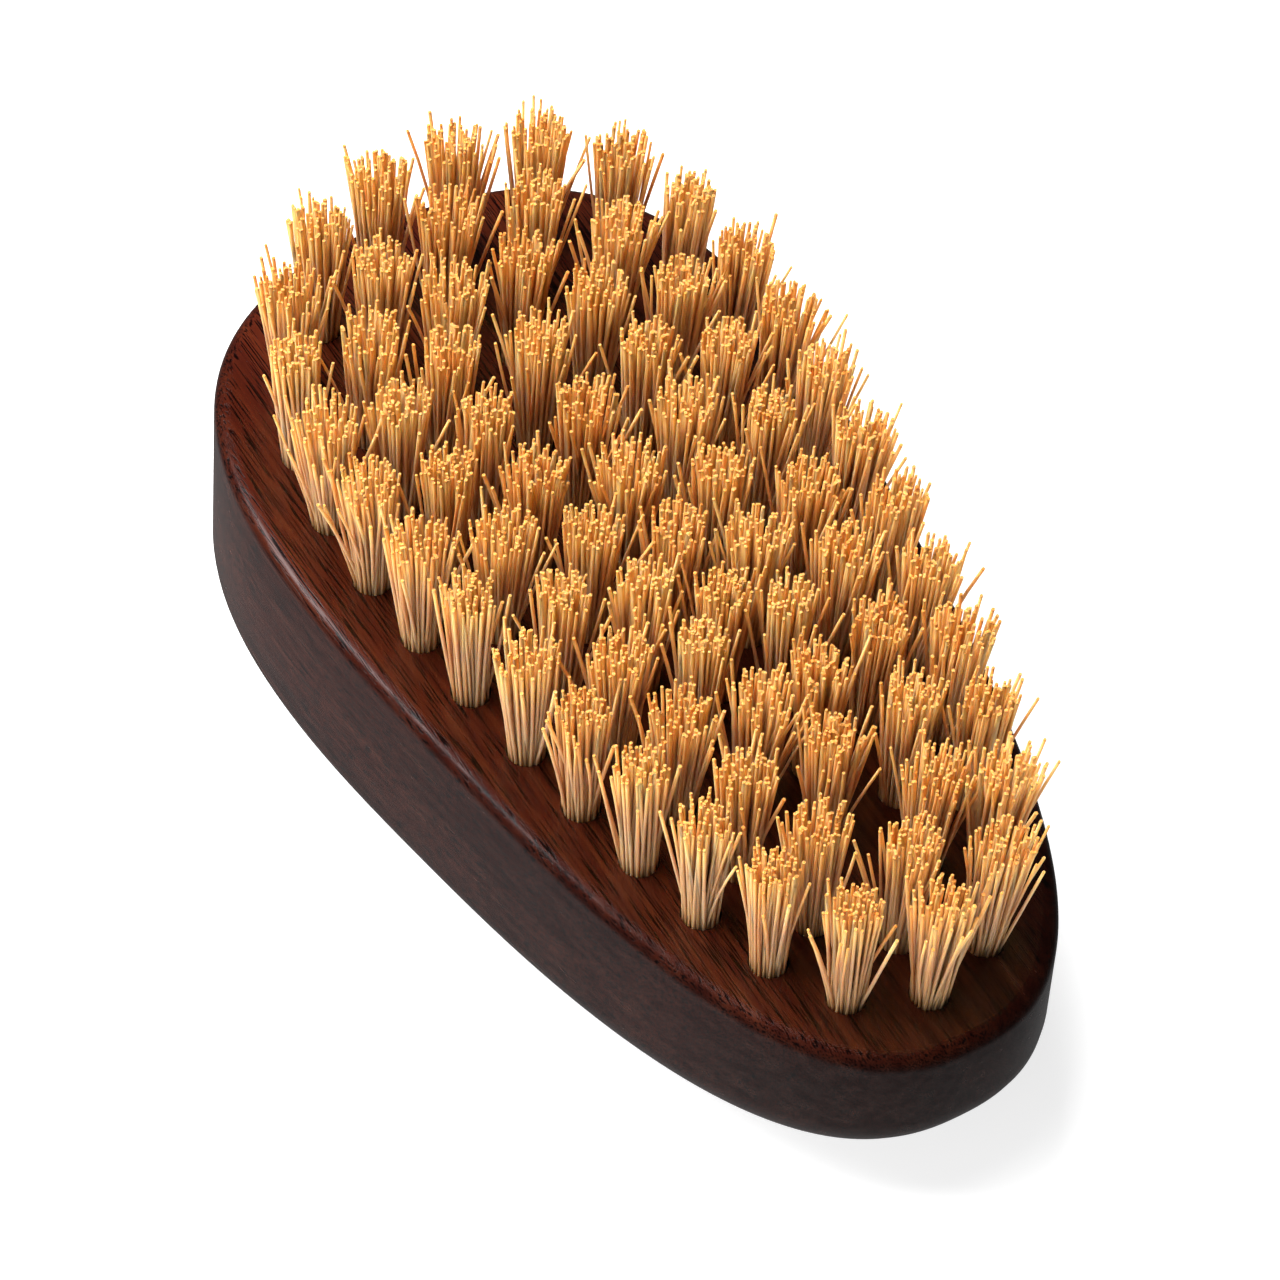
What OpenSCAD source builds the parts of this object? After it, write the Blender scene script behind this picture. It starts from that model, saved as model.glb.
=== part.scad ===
// Palm-held beard brush: one solid wooden block, drilled on its flat face,
// with stiff plant-fibre tufts folded over flat wire anchors in blind holes.
// Millimetres. X runs along the block, with +X at its broad end. Y runs across
// it. The block's back rests on Z = 0, and the bristles point up.

/* [Block] */
// Length of the block
block_l = 100; // [83:1:120]
// Width of the block halfway along its length
mid_w = 49; // [40:0.5:59]
// How much wider the broad end is drawn than the narrow end
end_bias = 0.27; // [0:0.01:0.35]
// How much both ends are filled out
end_fill = 0.11; // [0:0.01:0.2]
// Roundness of the outline: 2 is an ellipse, and higher is squarer
outline_power = 2.44; // [2:0.02:3]
// Thickness of the block, from the back to the bristle face
block_t = 25; // [20.5:0.5:30]
// Radius of the edge around the bristle face
face_edge_r = 1.5; // [0.5:0.1:3]

/* [Back] */
// Height of the upright side at the narrow end, from the face down
side_narrow = 9.3; // [7:0.1:12]
// Height of the upright side where it is tallest
side_crest = 19; // [14:0.5:20]
// Height of the upright side at the broad end
side_broad = 17; // [12:0.5:19]
// Place along the block where the side is tallest
crest_x = 35; // [20:1:38]
// Length of the flat land that the block rests on
land_l = 44; // [30:1:50]
// Width of the flat land
land_w = 20; // [12:1:26]
// Place of the land's centre along the block
land_x = 17; // [12:1:20]

/* [Tufts] */
// Height of the bristles above the face
bristle_h = 14.8; // [10:0.2:20]
// Diameter of the hole that a tuft sits in
hole_d = 3.5; // [2.8:0.1:4.2]
// Depth of the hole
hole_depth = 9; // [6:0.5:11]
// Gap between the trimmed tips of tufts in neighbouring rows
tip_gap = 1.4; // [0.8:0.1:2.4]
// Lean of the outer row's holes and tufts away from the middle, in degrees
outer_lean = 3; // [0:0.5:5]
// Gap around a tuft in its hole
tuft_gap = 0.05; // [0.02:0.01:0.1]

/* [Pattern] */
// Distance from the block's edge to the outer row
edge_inset = 6.2; // [5:0.1:8]
// Spacing of the tufts along the outer row
outer_spacing = 7.35; // [6.5:0.05:9]
// Spacing of the tufts along the second row
second_spacing = 7.9; // [7:0.05:9]
// Spacing of the tufts along the third row
third_spacing = 7.2; // [6.5:0.05:9]
// Spacing of the tufts along the centre line
centre_spacing = 7.6; // [6.5:0.1:9]
// Half the width of the third row where it turns back at the narrow end, in row pitches
third_turn = 0.56; // [0.5:0.02:0.8]

/* [Anchors] */
// How far each end of an anchor bites into the wood
anchor_bite = 0.4; // [0.2:0.05:0.6]
// Thickness of the anchor's flat wire
anchor_t = 0.4; // [0.3:0.05:0.6]
// Height of the anchor's flat wire
anchor_h = 1.8; // [1.2:0.1:2.4]
// Thickness of the fibre fold under the anchor
fold_h = 0.9; // [0.6:0.1:1.4]
// Gap around an anchor in its slots
anchor_gap = 0.02; // [0.01:0.01:0.05]

/* [Hidden] */
half_l = block_l / 2;
half_w = mid_w / 2;
// The rows are evenly pitched from the outer row to the centre line
row_pitch = (half_w - edge_inset) / 3;
third_inset = edge_inset + 2 * row_pitch;
tip_d = row_pitch - tip_gap;
bundle_d = hole_d - 2 * tuft_gap;
anchor_bottom = fold_h - hole_depth;
anchor_w = hole_d + 2 * anchor_bite;
over = 0.5;             // how far a cutting tool passes the face it opens
outline_steps = 96;     // points around each ring of the block
edge_steps = 4;         // rings in the rounded edge of the face
back_steps = 10;        // rings in the domed back
row_steps = 120;        // points that a row's length is measured along
round_fn = 32;

function signed_pow(v, p) = sign(v) * pow(abs(v), p);

// Half the block's width at a place along it, before the ends close
function half_width(x) = half_w * (1 + end_bias * x / half_l + end_fill * pow(x / half_l, 2));

// A point of the egg-shaped outline, set in from the side, the broad end and the narrow end
function egg(turn, side, broad, narrow) =
    let (
        p = 2 / outline_power,
        x = (narrow - broad) / 2 + (half_l - (narrow + broad) / 2) * signed_pow(cos(turn), p)
    )
    [x, (half_width(x) - side) * signed_pow(sin(turn), p)];

// Height of the upright side at a place along the block
function side_h(x) =
    let (
        end = x < crest_x ? side_narrow : side_broad,
        reach = x < crest_x ? half_l + crest_x : half_l - crest_x
    )
    side_crest + (end - side_crest) * pow((x - crest_x) / reach, 2);

// One ring of the face's rounded edge, inset from the outline and below the face
function edge_ring(inset, drop) = [
    for (i = [0:outline_steps - 1])
        let (p = egg(360 * i / outline_steps, inset, inset, inset))
        [p.x, p.y, block_t - drop]
];

// One ring of the back, which is a quarter of an ellipse from the side's foot to the land
function back_ring(a) = [
    for (i = [0:outline_steps - 1])
        let (
            turn = 360 * i / outline_steps,
            foot = egg(turn, 0, 0, 0),
            land = [land_x + land_l / 2 * cos(turn), land_w / 2 * sin(turn)],
            p = land + (foot - land) * cos(a)
        )
        [p.x, p.y, (block_t - side_h(foot.x)) * (1 - sin(a))]
];

function block_rings() = concat(
    [for (i = [0:edge_steps])
        let (a = 90 * i / edge_steps)
        edge_ring(face_edge_r * (1 - sin(a)), face_edge_r * (1 - cos(a)))],
    [for (i = [0:back_steps]) back_ring(90 * i / back_steps)]
);

// The first place from the narrow end at which the third row is wide enough to turn back
function turn_place(x) =
    half_width(x) - third_inset >= third_turn * row_pitch ? x : turn_place(x + 0.1);
third_narrow = half_l + turn_place(third_inset - half_l);

// Rows: inset from the side and broad end, inset from the narrow end, spacing, lean, and how far
// the first tuft stands from the middle of the narrow end, as a share of the spacing
row_names = ["outer", "second", "third", "centre"];
rows = [
    [edge_inset, edge_inset, outer_spacing, outer_lean, 0.92],
    [edge_inset + row_pitch, edge_inset + row_pitch, second_spacing, outer_lean / 2, 0],
    [third_inset, third_narrow, third_spacing, 0, 0]
];

// A row's curve as [distance along it, turn], and a point on it at a turn
function row_point(r, turn) = egg(turn, rows[r][0], rows[r][0], rows[r][1]);
function row_lengths(r) = [
    for (
        i = 0, far = 0, from = row_point(r, 0), to = from;
        i <= row_steps;
        i = i + 1,
        to = row_point(r, 360 * i / row_steps),
        far = far + norm(to - from),
        from = to
    ) [far, 360 * i / row_steps]
];

// Each tuft is [x, y, direction of its lean, lean]
function row_tufts(r) =
    let (
        lengths = row_lengths(r),
        whole = lengths[row_steps][0],
        count = round(whole / rows[r][2])
    )
    [for (i = [0:count - 1])
        let (
            turn = lookup(whole * ((0.5 + (i + rows[r][4]) / count) % 1), lengths),
            here = row_point(r, turn),
            step = row_point(r, turn + 1) - row_point(r, turn - 1)
        )
        [here.x, here.y, atan2(-step.x, step.y), rows[r][3]]];

// Half the width of the third row's curve at a place along the block
function third_half(x) =
    let (
        middle = (third_narrow - third_inset) / 2,
        reach = half_l - (third_narrow + third_inset) / 2,
        n = outline_power
    )
    (half_width(x) - third_inset) * pow(1 - pow(abs(x - middle) / reach, n), 1 / n);

// The centre line starts near the third row's broad end, and runs on while a tuft's tips fit beside it
centre_from = half_l - third_inset - 1.25 * centre_spacing;
function centre_tufts() = [
    for (x = centre_from; third_half(x) >= tip_d; x = x - centre_spacing) [x, 0, 0, 0]
];

tufts = [row_tufts(0), row_tufts(1), row_tufts(2), centre_tufts()];

// A long outer row is put in pairs too, which keeps the number of nodes down
per_node = [len(tufts[0]) > 30 ? 2 : 1, 2, 2, 1];
function node_count(r) = ceil(len(tufts[r]) / per_node[r]);
function two_digits(n) = n < 10 ? str("0", n) : str(n);
function tuft_node(r, i) = str(row_names[r], per_node[r] == 1 ? "_tuft_" : "_tufts_", two_digits(i + 1));
function anchor_node(r) = str(row_names[r], "_anchors");

// A closed solid through rings that have the same number of points, from the top down
module skin(rings) {
    n = len(rings[0]);
    last = len(rings) - 1;
    sides = [
        for (k = [0:last - 1]) for (i = [0:n - 1])
            let (a = k * n + i, b = k * n + (i + 1) % n)
            each [[a, b, b + n], [a, b + n, a + n]]
    ];
    top = [for (i = [n - 1:-1:0]) i];
    bottom = [for (i = [0:n - 1]) last * n + i];
    polyhedron(points = [for (ring = rings) each ring], faces = concat([top, bottom], sides));
}

// Puts a tuft's piece at its hole's mouth and leans it, with its anchor kept along the block
module at_tuft(t) {
    translate([t.x, t.y, block_t])
        rotate([0, 0, t[2]]) rotate([0, t[3], 0]) rotate([0, 0, -t[2]])
            children();
}

// The hole for one tuft, with the two nicks that the anchor is driven down
module tuft_hole() {
    slot_w = anchor_w + 2 * anchor_gap;
    slot_t = anchor_t + 2 * anchor_gap;
    slot_bottom = anchor_bottom - anchor_gap;
    translate([0, 0, -hole_depth])
        cylinder(h = hole_depth + over, d = hole_d, $fn = round_fn);
    translate([-slot_w / 2, -slot_t / 2, slot_bottom])
        cube([slot_w, slot_t, over - slot_bottom]);
}

// The anchor: a short length of flat wire on its edge, along the block
module anchor(gap = 0) {
    w = anchor_w + 2 * gap;
    t = anchor_t + 2 * gap;
    translate([-w / 2, -t / 2, anchor_bottom - gap])
        cube([w, t, anchor_h + 2 * gap]);
}

// One tuft: a folded bundle in its hole, spreading towards its trimmed tips
module tuft() {
    difference() {
        union() {
            translate([0, 0, -hole_depth])
                cylinder(h = hole_depth, d = bundle_d, $fn = round_fn);
            cylinder(h = bristle_h, d1 = bundle_d, d2 = tip_d, $fn = round_fn);
        }
        anchor(anchor_gap);
    }
}

module block() {
    color("#3f1d13")
        difference() {
            skin(block_rings());
            for (row = tufts) for (t = row)
                at_tuft(t) tuft_hole();
        }
}

module tuft_group(r, i) {
    first = i * per_node[r];
    last = min(first + per_node[r], len(tufts[r])) - 1;
    color("#d9a557")
        for (k = [first:last])
            at_tuft(tufts[r][k]) tuft();
}

module anchor_group(r) {
    color("#b08d45")
        for (t = tufts[r])
            at_tuft(t) anchor();
}

block();
for (r = [0:3]) for (i = [0:node_count(r) - 1])
    tuft_group(r, i);
for (r = [0:3])
    anchor_group(r);
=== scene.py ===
import math
import random

import bmesh
import bpy
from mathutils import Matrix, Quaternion, Vector


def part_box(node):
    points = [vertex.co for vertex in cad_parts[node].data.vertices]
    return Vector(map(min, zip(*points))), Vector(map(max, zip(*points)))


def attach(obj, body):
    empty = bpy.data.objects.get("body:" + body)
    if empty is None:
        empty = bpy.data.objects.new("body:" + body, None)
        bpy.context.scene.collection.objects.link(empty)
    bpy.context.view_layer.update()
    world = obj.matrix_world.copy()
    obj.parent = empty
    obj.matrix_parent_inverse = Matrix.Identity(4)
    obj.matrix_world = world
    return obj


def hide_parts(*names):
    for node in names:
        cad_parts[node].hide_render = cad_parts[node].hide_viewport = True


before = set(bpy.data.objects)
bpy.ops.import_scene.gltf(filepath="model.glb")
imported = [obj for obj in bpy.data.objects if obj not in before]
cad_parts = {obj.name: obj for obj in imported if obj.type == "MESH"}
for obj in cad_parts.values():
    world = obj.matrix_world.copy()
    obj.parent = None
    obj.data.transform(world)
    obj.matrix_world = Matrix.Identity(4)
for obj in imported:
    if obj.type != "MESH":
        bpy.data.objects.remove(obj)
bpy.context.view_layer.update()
scene = bpy.context.scene


# ---- Camera -------------------------------------------------------------------------------
# A long lens looks down over the narrow end, with the broad end far away on the left.
# Lengths of the brush are in millimetres, and MM turns them into the scene's metres.

MM = 0.001

camera_target = Vector((-0.84, 3.1, 25.0)) * MM
camera_distance = 727 * MM
camera_azimuth = math.radians(145.2)
camera_elevation = math.radians(54.2)
camera_roll = math.radians(4.6)
camera_lens = 237.8


def link(thing):
    """Puts a new object into the scene and gives it back."""
    scene.collection.objects.link(thing)
    return thing


def compass(azimuth, elevation):
    """The unit vector at an azimuth, counted from +X towards +Y, and an elevation."""
    level = math.cos(elevation)
    return Vector((level * math.cos(azimuth), level * math.sin(azimuth), math.sin(elevation)))


def face_along(thing, backwards, roll=0.0):
    """Turns a camera or light so that it looks against a direction, rolled about its own axis."""
    turned = backwards.to_track_quat("Z", "Y") @ Quaternion((0, 0, 1), roll)
    thing.rotation_euler = turned.to_euler()


camera = link(bpy.data.objects.new("camera", bpy.data.cameras.new("camera")))
camera.data.lens = camera_lens
camera.data.sensor_width = 36
camera.data.clip_start = 0.05
camera.data.clip_end = 20
to_camera = compass(camera_azimuth, camera_elevation)
camera.location = camera_target + to_camera * camera_distance
face_along(camera, to_camera, camera_roll)
scene.camera = camera
scene.view_settings.view_transform = "Standard"


# ---- Floor and light ----------------------------------------------------------------------
# A sheet of seamless white paper that glows a little, so that it stays white around the brush.
# A large soft box hangs above the far left, a weak one fills the front, and a small one draws a
# line of light along the block's edge. The room itself is dim, and glows mostly from below.

floor_side = 4.0            # metres
paper_white = "#f6f6f6"
paper_grey = "#b8b8b8"      # under the light, so that a shadow on it stays faint
paper_glow = 0.84
glow_below = 0.34           # stands for the light that the paper throws back on the brush
glow_above = 0.08
below_starts = -0.3         # heights of a direction at which the glow from below starts,
below_is_full = -0.6        # and at which it is full
bright_azimuth = math.radians(75)
dim_side = 0.3              # what is left of the glow on the side away from that azimuth
box_distance = 1.3          # metres


def linear(hex_colour):
    """A colour given as sRGB hex, as the linear RGBA that a shader's socket takes."""
    def one(pair):
        share = int(pair, 16) / 255
        return share / 12.92 if share <= 0.04045 else ((share + 0.055) / 1.055) ** 2.4

    digits = hex_colour.lstrip("#")
    return (one(digits[0:2]), one(digits[2:4]), one(digits[4:6]), 1.0)


def add(tree, kind, inputs=None, **settings):
    """Adds a shader node, sets its own settings, and fills its inputs with values or links."""
    node = tree.nodes.new("ShaderNode" + kind)
    for name, value in settings.items():
        setattr(node, name, value)
    for name, value in (inputs or {}).items():
        if isinstance(value, bpy.types.NodeSocket):
            tree.links.new(value, node.inputs[name])
        else:
            node.inputs[name].default_value = value
    return node


def new_material(name):
    """An empty material with an output, as its node tree, its output node and itself."""
    material = bpy.data.materials.new(name)
    material.use_nodes = True
    material.node_tree.nodes.clear()
    return material.node_tree, add(material.node_tree, "OutputMaterial"), material


def set_stops(ramp_node, stops):
    """Gives a colour ramp its stops, each a place from 0 to 1 and an sRGB hex colour."""
    ramp = ramp_node.color_ramp
    while len(ramp.elements) < len(stops):
        ramp.elements.new(1.0)
    for element, (place, colour) in zip(ramp.elements, stops):
        element.position = place
        element.color = linear(colour)


paper_mesh = bmesh.new()
bmesh.ops.create_grid(paper_mesh, x_segments=1, y_segments=1, size=floor_side / 2)
paper = link(bpy.data.objects.new("paper_floor", bpy.data.meshes.new("paper_floor")))
paper_mesh.to_mesh(paper.data)
paper_mesh.free()

tree, output, material = new_material("seamless_paper")
shader = add(tree, "BsdfPrincipled", {"Base Color": linear(paper_grey), "Roughness": 0.95})
shader.inputs["Specular IOR Level"].default_value = 0.2
shader.inputs["Emission Color"].default_value = linear(paper_white)
shader.inputs["Emission Strength"].default_value = paper_glow
tree.links.new(shader.outputs["BSDF"], output.inputs["Surface"])
paper.data.materials.append(material)
paper.visible_glossy = False

room = bpy.data.worlds.new("room")
room.use_nodes = True
room.node_tree.nodes.clear()
tree = room.node_tree
towards = add(tree, "TexCoord").outputs["Generated"]
facing = add(tree, "VectorMath", {0: towards, 1: compass(bright_azimuth, 0)},
             operation="DOT_PRODUCT")
side = add(tree, "MapRange", {"Value": facing.outputs["Value"], "From Min": -1.0,
                              "To Min": dim_side})
height = add(tree, "SeparateXYZ", {"Vector": towards}).outputs["Z"]
level = add(tree, "MapRange", {"Value": height, "From Min": below_is_full,
                               "From Max": below_starts, "To Min": glow_below,
                               "To Max": glow_above})
strength = add(tree, "Math", {0: side.outputs["Result"], 1: level.outputs["Result"]},
               operation="MULTIPLY")
glow = add(tree, "Background", {"Strength": strength.outputs["Value"]})
glow.inputs["Color"].default_value = (1, 1, 1, 1)
add(tree, "OutputWorld", {"Surface": glow.outputs["Background"]})
scene.world = room


def soft_box(name, azimuth, elevation, size, power, reflected):
    """A square area light that faces the brush, and that glossy surfaces may or may not mirror."""
    light = link(bpy.data.objects.new(name, bpy.data.lights.new(name, "AREA")))
    light.data.size = size
    light.data.energy = power
    light.visible_glossy = reflected
    direction = compass(math.radians(azimuth), math.radians(elevation))
    light.location = camera_target + direction * box_distance
    face_along(light, direction)


soft_box("key_box", azimuth=50, elevation=66, size=0.9, power=52, reflected=False)
soft_box("front_box", azimuth=110, elevation=35, size=0.9, power=5, reflected=False)
soft_box("edge_box", azimuth=52, elevation=36, size=0.45, power=5, reflected=True)


# ---- Block --------------------------------------------------------------------------------
# One piece of walnut, shaped to an egg outline with a domed back, drilled from its flat face,
# then stained dark and oiled. Each hole has two nicks where its anchor was driven down, and they
# have closed again at the face.

block_low, block_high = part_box("block")
half_l = (block_high.x - block_low.x) / 2 / MM
block_t = block_high.z / MM
half_w = 24.5               # at the middle of the block's length
end_bias = 0.27
end_fill = 0.11
outline_power = 2.44
face_edge_r = 1.5
side_narrow = 9.3
side_crest = 19.0
side_broad = 17.0
crest_x = 35.0
land_x = 17.0
land_l = 44.0
land_w = 20.0

hole_d = 3.5
hole_depth = 9.0
hole_softening = 0.05       # how far the edge of a hole's mouth is rounded off
nick_w = 4.34
nick_t = 0.44
nick_depth = 2.0

outline_steps = 240
edge_steps = 9
back_steps = 18
hole_steps = 24

weld = 0.001                # points of a CAD solid nearer than this are one point
end_zone = 0.4              # and those this near to an end of a tuft belong to that end
same_place = 1e-6


def signed_power(value, power):
    """A number raised to a power, with its sign kept."""
    return math.copysign(abs(value) ** power, value)


def egg(turn, inset):
    """A point of the block's outline, set in by an inset."""
    power = 2 / outline_power
    x = (half_l - inset) * signed_power(math.cos(turn), power)
    widening = 1 + end_bias * x / half_l + end_fill * (x / half_l) ** 2
    return x, (half_w * widening - inset) * signed_power(math.sin(turn), power)


def edge_point(turn, angle):
    """A point of the rounded edge, from the face at angle 0 to the side at a quarter turn."""
    x, y = egg(turn, face_edge_r * (1 - math.sin(angle)))
    return Vector((x, y, block_t - face_edge_r * (1 - math.cos(angle))))


def side_height(x):
    """Height of the upright side at a place along the block."""
    end = side_narrow if x < crest_x else side_broad
    reach = half_l + crest_x if x < crest_x else half_l - crest_x
    return side_crest + (end - side_crest) * ((x - crest_x) / reach) ** 2


def back_point(turn, angle):
    """A point of the domed back, from the side's foot at angle 0 to the flat land."""
    foot_x, foot_y = egg(turn, 0)
    land = Vector((land_x + land_l / 2 * math.cos(turn), land_w / 2 * math.sin(turn)))
    across = land + (Vector((foot_x, foot_y)) - land) * math.cos(angle)
    height = (block_t - side_height(foot_x)) * (1 - math.sin(angle))
    return Vector((across.x, across.y, height))


def edges_among(verts):
    """The edges that join two of these vertices, in the same order on every run."""
    kept = set(verts)
    edges = dict.fromkeys(edge for vert in verts for edge in vert.link_edges)
    return [edge for edge in edges if edge.verts[0] in kept and edge.verts[1] in kept]


def islands(mesh):
    """The separate solids of a CAD node's mesh, each as the places of its vertices."""
    copy = bmesh.new()
    copy.from_mesh(mesh)
    bmesh.ops.remove_doubles(copy, verts=copy.verts, dist=weld * MM)
    left = set(copy.verts)
    found = []
    while left:
        island = []
        waiting = [left.pop()]
        while waiting:
            vert = waiting.pop()
            island.append(vert.co.copy())
            for edge in vert.link_edges:
                other = edge.other_vert(vert)
                if other in left:
                    left.remove(other)
                    waiting.append(other)
        found.append(island)
    copy.free()
    return found


def mean(points):
    """The middle of some points, to the last digit the same in whatever order they come."""
    return Vector([math.fsum(along_axis) / len(points) for along_axis in zip(*points)])


def tuft_axes(node):
    """The two ends of each tuft's axis in a CAD node, from its root to its trimmed tips."""
    axes = []
    for points in islands(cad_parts[node].data):
        lowest = min(p.z for p in points)
        highest = max(p.z for p in points)
        root = mean([p for p in points if p.z < lowest + end_zone * MM])
        tip = mean([p for p in points if p.z > highest - end_zone * MM])
        axes.append((root / MM, tip / MM))
    return sorted(axes, key=lambda axis: axis[0].to_tuple(2))


class Seat:
    """One tuft's hole: the middle of its mouth, and its own directions across, along and up."""

    def __init__(self, root, tip):
        self.up = (tip - root).normalized()
        self.mouth = root + self.up * ((block_t - root.z) / self.up.z)
        self.height = (tip - self.mouth).length
        self.across = (Vector((1, 0, 0)) - self.up * self.up.x).normalized()
        self.along = self.up.cross(self.across)

    def place(self, x, y, z):
        """The point this far across, along and up from the middle of the mouth."""
        return self.mouth + self.across * x + self.along * y + self.up * z


tuft_nodes = sorted(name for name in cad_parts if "_tuft" in name)
seats = {name: [Seat(root, tip) for root, tip in tuft_axes(name)] for name in tuft_nodes}


def hole_profile(growth, over_nicks):
    """A hole's outline, grown by a distance, with two nicks that make it this wide over all."""
    points = []
    radius = hole_d / 2 + growth
    for step in range(hole_steps):
        angle = 2 * math.pi * (step + 0.5) / hole_steps
        points.append((radius * math.cos(angle), radius * math.sin(angle)))
        if step in (hole_steps / 2 - 1, hole_steps - 1):
            end = over_nicks / 2 * (1 if step == hole_steps - 1 else -1)
            side = math.copysign(nick_t / 2, -end)
            points += [(end, side), (end, -side)]
    return points


def put_ring(verts, profile, seat, depth):
    """Sets a ring of a hole's vertices on its profile at a depth below the face."""
    for vert, (x, y) in zip(verts, profile):
        vert.co = seat.place(x, y, -depth)


def copy_among(new_verts, vert):
    """The one of the new vertices that was extruded from this vertex, and still lies on it."""
    linked = [edge.other_vert(vert) for edge in vert.link_edges]
    return next(v for v in linked if v in new_verts and (v.co - vert.co).length < same_place)


bm = bmesh.new()
turns = bm.verts.layers.float.new("turn")
face_ring = bmesh.ops.create_circle(bm, segments=outline_steps, radius=1)["verts"]
for vert in face_ring:
    vert[turns] = math.atan2(vert.co.y, vert.co.x)
    vert.co = edge_point(vert[turns], 0)

mouths = []
for seat in [seat for node in tuft_nodes for seat in seats[node]]:
    profile = hole_profile(hole_softening, hole_d + 2 * hole_softening)
    ring = bmesh.ops.create_circle(bm, segments=len(profile), radius=1)["verts"]
    put_ring(ring, profile, seat, 0)
    for vert in ring:
        vert.co.z = block_t
    mouths.append((seat, ring))

filled = bmesh.ops.triangle_fill(bm, use_beauty=True, edges=bm.edges[:], normal=(0, 0, 1))
flat_face = [f for f in filled["geom"] if isinstance(f, bmesh.types.BMFace)]

sharp = []
for seat, ring in mouths:
    rim = edges_among(ring)
    sharp += rim
    for width, depth in ((hole_d, hole_softening), (nick_w, nick_depth), (nick_w, hole_depth)):
        made = bmesh.ops.extrude_edge_only(bm, edges=edges_among(ring))["geom"]
        new_verts = {g for g in made if isinstance(g, bmesh.types.BMVert)}
        # In the old ring's order, the new one fits its profile point for point
        ring = [copy_among(new_verts, vert) for vert in ring]
        put_ring(ring, hole_profile(0, width), seat, depth)
    bottom = edges_among(ring)
    sharp += bottom
    bmesh.ops.contextual_create(bm, geom=bottom)


def next_ring(verts, place):
    """Extrudes a ring of the block and puts each new vertex where its turn says."""
    made = bmesh.ops.extrude_edge_only(bm, edges=edges_among(verts))["geom"]
    new_verts = [g for g in made if isinstance(g, bmesh.types.BMVert)]
    for vert in new_verts:
        vert.co = place(vert[turns])
    return new_verts


ring = face_ring
for step in range(1, edge_steps + 1):
    ring = next_ring(ring, lambda turn: edge_point(turn, math.pi / 2 * step / edge_steps))
for step in range(back_steps + 1):
    ring = next_ring(ring, lambda turn: back_point(turn, math.pi / 2 * step / back_steps))
land_edges = edges_among(ring)
land_face = bmesh.ops.contextual_create(bm, geom=land_edges)["faces"]

for each in bm.faces:
    each.smooth = True
for each in flat_face + land_face:
    each.smooth = False
for edge in sharp:
    edge.smooth = False
bmesh.ops.recalc_face_normals(bm, faces=bm.faces)
bmesh.ops.scale(bm, vec=(MM, MM, MM), verts=bm.verts)
block = link(bpy.data.objects.new("walnut_block", bpy.data.meshes.new("walnut_block")))
bm.to_mesh(block.data)
bm.free()

# Walnut, planed and sanded along the grain, stained and rubbed with oil: bands of growth a
# millimetre or two wide, short dark pores that the stain fills, and a low sheen that is duller
# along the darker bands. Painted shade darkens the side below the rounded edge, and more painted
# shade darkens the wood towards the narrow end and one corner, where the light falls off.
grain_band = 1.0
pore_width = 0.12
pore_depth = 0.05
grain_stretch = 0.035       # the width of a band or a pore, as a share of its length
patches_per_mm = 0.12
side_shade = 0.65            # painted shade: the side's colour, as a share of the face's
side_shade_from = 0.05            # that painted shade starts this far below the face, and is complete here
side_shade_to = 0.75              # and is complete here
narrow_end_shade = 0.4           # painted shade: the narrow end's colour, as a share of the broad end's
narrow_at = -40.0           # places at which the two are reached, along a line that leans
broad_at = 42.0             # across the block
shade_falloff_line = (0.8, 0.6, 0.0)

tree, output, material = new_material("stained_walnut")
where = add(tree, "TexCoord").outputs["Object"]
in_mm = add(tree, "Mapping", {"Vector": where, "Scale": (1 / MM, 1 / MM, 1 / MM)}).outputs["Vector"]
stretched = add(tree, "Mapping", {"Vector": in_mm, "Scale": (grain_stretch, 1, 1)})
along_grain = stretched.outputs["Vector"]
bands = add(tree, "TexNoise", {"Vector": along_grain, "Scale": 1 / grain_band, "Detail": 4.0,
                               "Roughness": 0.6})
patches = add(tree, "TexNoise", {"Vector": along_grain, "Scale": patches_per_mm, "Detail": 2.0})
pores = add(tree, "TexNoise", {"Vector": along_grain, "Scale": 1 / pore_width, "Detail": 0.0})
stain = add(tree, "ValToRGB", {"Fac": bands.outputs["Fac"]})
set_stops(stain, [(0.34, "#38120a"), (0.5, "#43180b"), (0.66, "#4e200e")])
depth = add(tree, "ValToRGB", {"Fac": patches.outputs["Fac"]})
set_stops(depth, [(0.35, "#cbbfba"), (0.65, "#ffffff")])
# Painted shade: the wood darkens towards the narrow end and one corner, where the light falls off
along = add(tree, "VectorMath", {0: in_mm, 1: shade_falloff_line}, operation="DOT_PRODUCT").outputs["Value"]
up = add(tree, "SeparateXYZ", {"Vector": in_mm}).outputs["Z"]
# Painted shade: the side darkens below the rounded edge
painted_side_shade = add(tree, "MapRange", {"Value": up, "From Min": block_t - side_shade_to,
                                  "From Max": block_t - side_shade_from, "To Min": side_shade,
                                  "To Max": 1.0})
painted_falloff_shade = add(tree, "MapRange", {"Value": along, "From Min": narrow_at, "From Max": broad_at,
                                   "To Min": narrow_end_shade, "To Max": 1.0})
pore_mask = add(tree, "ValToRGB", {"Fac": pores.outputs["Fac"]})
set_stops(pore_mask, [(0.37, "#4a2f27"), (0.45, "#ffffff")])
shaded = add(tree, "MixRGB", {"Fac": 1.0, "Color1": stain.outputs["Color"],
                              "Color2": depth.outputs["Color"]}, blend_type="MULTIPLY")
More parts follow.
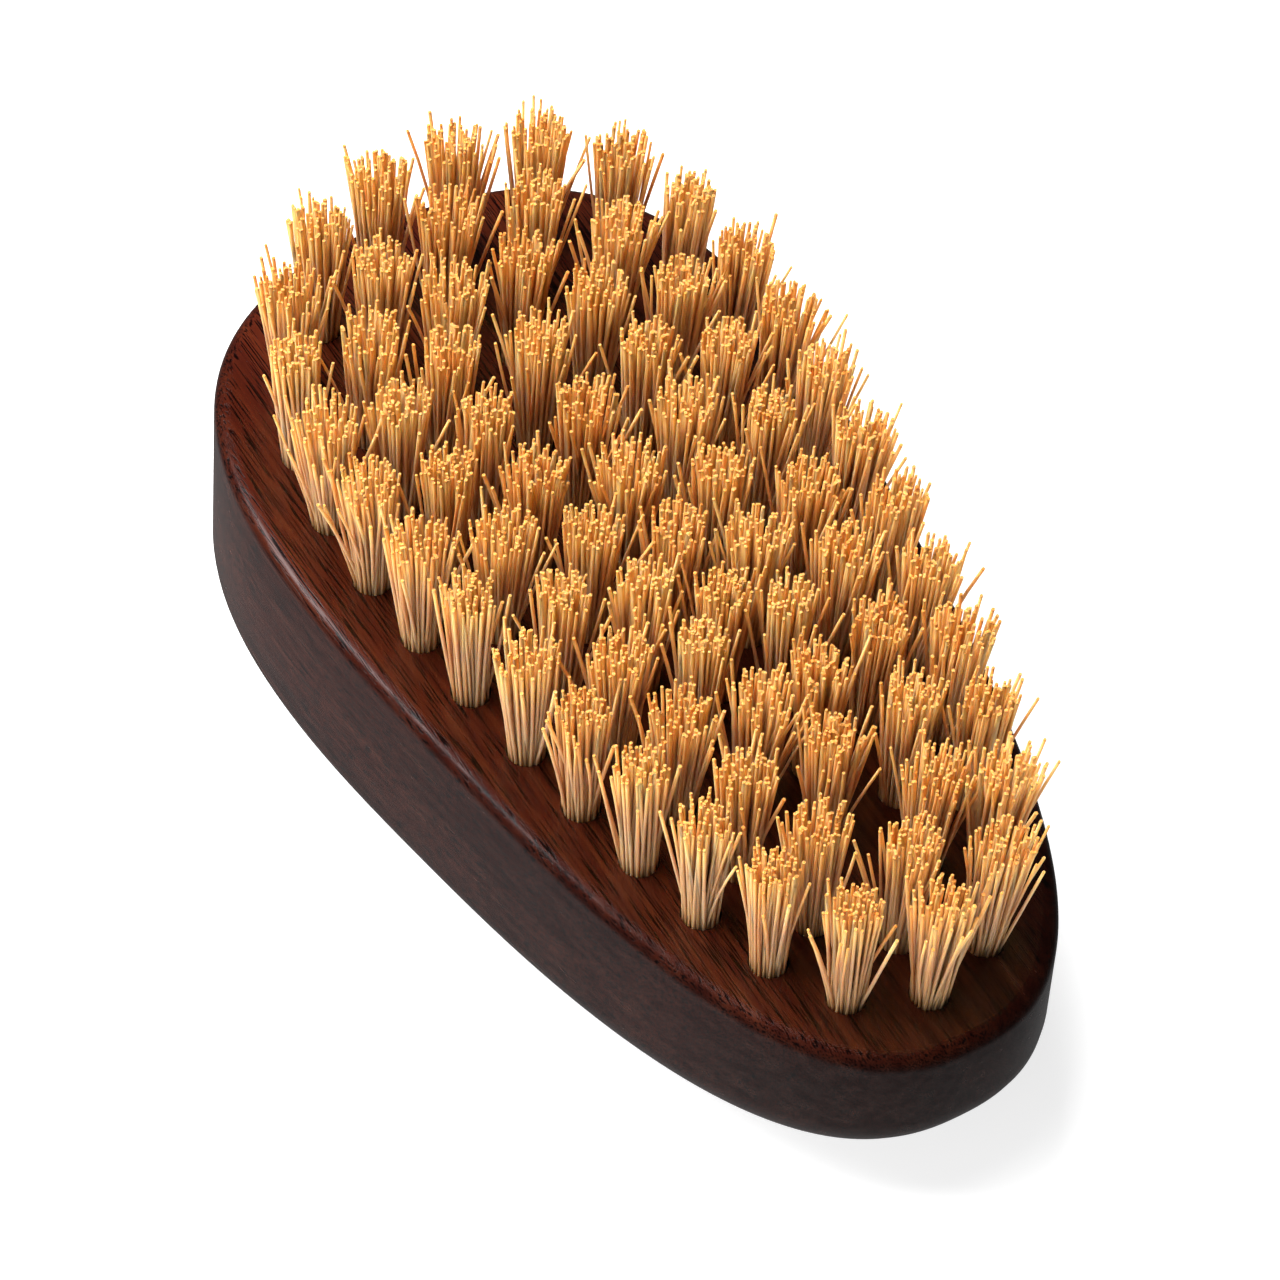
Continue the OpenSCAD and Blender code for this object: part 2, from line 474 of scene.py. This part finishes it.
# Both painted shades together, multiplied into the stain's colour
painted_shade = add(tree, "Math", {0: painted_falloff_shade.outputs["Result"], 1: painted_side_shade.outputs["Result"]},
             operation="MULTIPLY")
stain_with_painted_shade = add(tree, "MixRGB", {"Fac": 1.0, "Color1": shaded.outputs["Color"],
                              "Color2": painted_shade.outputs["Value"]}, blend_type="MULTIPLY")
pored = add(tree, "MixRGB", {"Fac": 1.0, "Color1": stain_with_painted_shade.outputs["Color"],
                             "Color2": pore_mask.outputs["Color"]}, blend_type="MULTIPLY")
rough = add(tree, "MapRange", {"Value": bands.outputs["Fac"], "To Min": 0.22, "To Max": 0.3})
sheen = add(tree, "MapRange", {"Value": bands.outputs["Fac"], "From Min": 0.38, "From Max": 0.62,
                               "To Min": 0.34, "To Max": 0.56})
dents = add(tree, "Bump", {"Height": pore_mask.outputs["Color"], "Strength": 0.3,
                           "Distance": pore_depth * MM})
shader = add(tree, "BsdfPrincipled", {"Base Color": pored.outputs["Color"],
                                      "Roughness": rough.outputs["Result"],
                                      "Specular IOR Level": sheen.outputs["Result"],
                                      "Normal": dents.outputs["Normal"], "IOR": 1.5})
tree.links.new(shader.outputs["BSDF"], output.inputs["Surface"])
block.data.materials.append(material)

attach(block, "root")
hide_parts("block")


# ---- Tufts --------------------------------------------------------------------------------
# Plain tampico, the stiff leaf fibre of an agave. A bundle is doubled over a flat wire, driven
# into its hole, and sheared level with the others, so each fibre is one hairpin with two cut ends.

pins_per_tuft = 42
fibre_r = 0.16
fibre_sides = 5
fibre_thickness = (0.8, 1.12)   # as shares of fibre_r
bundle_r = 1.73
spread = 1.75                   # a tuft's width at its trimmed end, as a share of its root's
looseness = (0.5, 1.1)          # each tuft's own share of that widening, and of stray fibres

# Down in the hole
fold_depth = 8.45
fold_range = (-0.15, 0.3)       # how far below that one fibre's fold lies
beside_anchor_depth = 7.3
legs_meet_depth = 5.9
anchor_half_t = 0.2
squeeze = 0.8                   # the bundle's thickness beside the anchor, as a share

# Above the face
lean_range = 0.26
bend_range = 0.2
middle_rise = 0.3               # the middle of a tuft stands this far above its CAD height,
rim_drop = 0.25                 # and its rim this much less
trim_range = 0.25
stray_share = 0.2               # of the fibres stand out from their tuft,
stray_push = (0.5, 2.1)         # this far,
stray_bend = 0.5
stray_drop = (0.2, 1.4)         # and end this much lower
ring_heights = (0.25, 0.5, 0.75, 0.985, 1.0)    # of a leg's rings, as shares of its height,
ring_reaches = (0.22, 0.45, 0.68, 0.9, 1.0)     # and their places along the fibre's colours
hidden_rings = 3                # beside the anchor, where the legs meet, and at the mouth

# Tones run from 0 to 1
middle_tone = 0.5
tone_range = 0.2
tuft_warmth = 0.12              # how far all the fibres of a tuft go one way together

leg_rings = hidden_rings + len(ring_heights)
pin_rings = 2 * leg_rings + 1

# One straight fibre, made once, with a ring for every place that a pin's run goes through
fibre_mesh = bmesh.new()
bmesh.ops.create_circle(fibre_mesh, cap_ends=True, segments=fibre_sides, radius=1)
end_face = fibre_mesh.faces[:][0]
for step in range(pin_rings - 1):
    made = bmesh.ops.extrude_face_region(fibre_mesh, geom=[end_face])["geom"]
    end_face = next(g for g in made if isinstance(g, bmesh.types.BMFace))
    bmesh.ops.translate(fibre_mesh, verts=end_face.verts, vec=(0, 0, 1))
bmesh.ops.recalc_face_normals(fibre_mesh, faces=fibre_mesh.faces)
for each in fibre_mesh.faces:
    is_cut = abs(each.normal.z) > 0.9
    each.smooth = not is_cut
    for edge in each.edges:
        if is_cut:
            edge.smooth = False
straight_fibre = bpy.data.meshes.new("straight_fibre")
fibre_mesh.to_mesh(straight_fibre)
fibre_mesh.free()


def bundle_places(count, dice):
    """Places of fibres packed in a round bundle, those in front of the anchor and those behind."""
    golden = math.pi * (3 - math.sqrt(5))
    start = dice.uniform(0, 2 * math.pi)
    places = []
    for i in range(count):
        radius = (bundle_r - fibre_r) * math.sqrt((i + 0.5) / count)
        angle = start + golden * i
        places.append((radius * math.cos(angle), radius * math.sin(angle)))
    places.sort(key=lambda place: place[1])
    front = sorted(places[:count // 2])
    behind = sorted(places[count // 2:])
    return list(zip(front, behind))


def leg_run(seat, place, side, loose, dice):
    """The middle line of one leg of a hairpin, from beside the anchor up to its cut end."""
    x, y = place
    beside = side * max(abs(y) * squeeze, anchor_half_t + fibre_r)
    lean = Vector((dice.gauss(0, lean_range), dice.gauss(0, lean_range)))
    bend = Vector((dice.gauss(0, bend_range), dice.gauss(0, bend_range)))
    trimmed = seat.height + middle_rise + dice.gauss(0, trim_range)
    height = trimmed - rim_drop * (x * x + y * y) / bundle_r ** 2
    if dice.random() < stray_share * loose:
        lean += Vector((x, y)).normalized() * dice.uniform(*stray_push)
        bend += Vector((dice.gauss(0, stray_bend), dice.gauss(0, stray_bend)))
        height -= dice.uniform(*stray_drop)
    run = [
        seat.place(x, beside, -beside_anchor_depth),
        seat.place(x, y, -legs_meet_depth),
        seat.place(x, y, 0),
    ]
    for share in ring_heights:
        grow = 1 + (spread - 1) * loose * share
        out = Vector((x, y)) * grow + lean * share + bend * share * share
        run.append(seat.place(out.x, out.y, height * share))
    return run


def bend_to(bm, straight, run, across, radius, tone, reach_at):
    """Adds a copy of the straight fibre and bends it along a run of places."""
    first = len(bm.verts)
    bm.from_mesh(straight)
    bm.verts.ensure_lookup_table()
    tones = bm.verts.layers.float["tone"]
    reaches = bm.verts.layers.float["reach"]
    frames = []
    last = len(run) - 1
    for i, middle in enumerate(run):
        tangent = run[min(i + 1, last)] - run[max(i - 1, 0)]
        up = tangent.cross(across).normalized()
        frames.append((middle, up.cross(tangent).normalized() * radius, up * radius))
    for vert in bm.verts[first:]:
        i = round(vert.co.z)
        middle, u, w = frames[i]
        vert.co = middle + u * vert.co.x + w * vert.co.y
        vert[tones] = tone
        vert[reaches] = reach_at[i]


leg_reach = [0.0] * hidden_rings + list(ring_reaches)
reach_at = leg_reach[::-1] + [0.0] + leg_reach


def bound_tufts(name, seats, seed):
    """One piece that holds every hairpin of the tufts at these seats."""
    dice = random.Random(seed)
    bm = bmesh.new()
    bm.verts.layers.float.new("tone")
    bm.verts.layers.float.new("reach")
    for seat in seats:
        warmth = dice.uniform(-tuft_warmth, tuft_warmth)
        loose = dice.uniform(*looseness)
        for front, behind in bundle_places(2 * pins_per_tuft, dice):
            left = leg_run(seat, front, -1, loose, dice)
            right = leg_run(seat, behind, 1, loose, dice)
            depth = fold_depth + dice.uniform(*fold_range)
            fold = seat.place((front[0] + behind[0]) / 2, 0, -depth)
            radius = fibre_r * dice.uniform(*fibre_thickness)
            tone = min(max(dice.gauss(middle_tone, tone_range) + warmth, 0), 1)
            run = left[::-1] + [fold] + right
            bend_to(bm, straight_fibre, run, seat.across, radius, tone, reach_at)
    bmesh.ops.scale(bm, vec=(MM, MM, MM), verts=bm.verts)
    piece = link(bpy.data.objects.new(name, bpy.data.meshes.new(name)))
    bm.to_mesh(piece.data)
    bm.free()
    return piece


# Tampico: straw-coloured and slightly glossy along its length, darker at its root with painted
# shade, lighter just below the sheared end with a painted highlight of the light that shines
# through the tips, golden at the cut end itself, and no two fibres quite the same tone.
streaks_per_mm = 8.0
streak_stretch = 0.1        # the width of a streak, as a share of its length
streak_strength = 0.12

tree, output, material = new_material("tampico_fibre")
reach = add(tree, "Attribute", attribute_name="reach").outputs["Fac"]
tone = add(tree, "Attribute", attribute_name="tone").outputs["Fac"]
fibre_colour_and_painted_light = add(tree, "ValToRGB", {"Fac": reach})
# Painted shade darkens the root, up to 0.1, and the stop at 0.85 is a painted highlight below the
# cut ends
set_stops(fibre_colour_and_painted_light, [(0.0, "#b8936f"), (0.1, "#caa57f"), (0.5, "#cfa37d"),
                          (0.85, "#ffd08a"), (1.0, "#dea05c")])
tone_colour = add(tree, "ValToRGB", {"Fac": tone})
set_stops(tone_colour, [(0.0, "#e2c6a6"), (0.5, "#f8f1e6"), (1.0, "#ffffff")])
toned = add(tree, "MixRGB", {"Fac": 1.0, "Color1": fibre_colour_and_painted_light.outputs["Color"],
                             "Color2": tone_colour.outputs["Color"]}, blend_type="MULTIPLY")
where = add(tree, "TexCoord").outputs["Object"]
stretched = add(tree, "Mapping", {"Vector": where, "Scale": (1 / MM, 1 / MM, streak_stretch / MM)})
streaks = add(tree, "TexNoise", {"Vector": stretched.outputs["Vector"], "Scale": streaks_per_mm,
                                 "Detail": 2.0})
streaked = add(tree, "MixRGB", {"Fac": streak_strength, "Color1": toned.outputs["Color"],
                                "Color2": streaks.outputs["Color"]}, blend_type="OVERLAY")
shader = add(tree, "BsdfPrincipled", {"Base Color": streaked.outputs["Color"], "Roughness": 0.48,
                                      "IOR": 1.5})
shader.inputs["Specular IOR Level"].default_value = 0.3
shader.inputs["Subsurface Weight"].default_value = 0.6
shader.inputs["Subsurface Radius"].default_value = (1.0, 0.65, 0.3)
shader.inputs["Subsurface Scale"].default_value = 0.6 * MM
tree.links.new(shader.outputs["BSDF"], output.inputs["Surface"])

for seed, node in enumerate(tuft_nodes):
    piece = bound_tufts("fibres_" + node, seats[node], seed)
    piece.data.materials.append(material)
    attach(piece, "root")
    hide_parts(node)


# ---- Anchors ------------------------------------------------------------------------------
# Short lengths of flat brass wire, one across the fold of each tuft. The machine that fills the
# brush cuts them from a coil and drives them in, and their ends bite into the wood.

# Brass, with the fine lines that the drawing die left along the wire
lines_per_mm = 12.0
line_stretch = 0.1          # the width of a line, as a share of its length

tree, output, material = new_material("flat_brass_wire")
where = add(tree, "TexCoord").outputs["Object"]
stretched = add(tree, "Mapping", {"Vector": where, "Scale": (line_stretch / MM, 1 / MM, 1 / MM)})
drawn = add(tree, "TexNoise", {"Vector": stretched.outputs["Vector"], "Scale": lines_per_mm,
                               "Detail": 3.0})
brass = add(tree, "ValToRGB", {"Fac": drawn.outputs["Fac"]})
set_stops(brass, [(0.3, "#a8813f"), (0.7, "#cfae68")])
rough = add(tree, "MapRange", {"Value": drawn.outputs["Fac"], "To Min": 0.25, "To Max": 0.45})
shader = add(tree, "BsdfPrincipled", {"Base Color": brass.outputs["Color"], "Metallic": 1.0,
                                      "Roughness": rough.outputs["Result"]})
tree.links.new(shader.outputs["BSDF"], output.inputs["Surface"])

for node in sorted(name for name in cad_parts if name.endswith("_anchors")):
    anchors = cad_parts[node]
    for slot in anchors.material_slots:
        slot.material = material
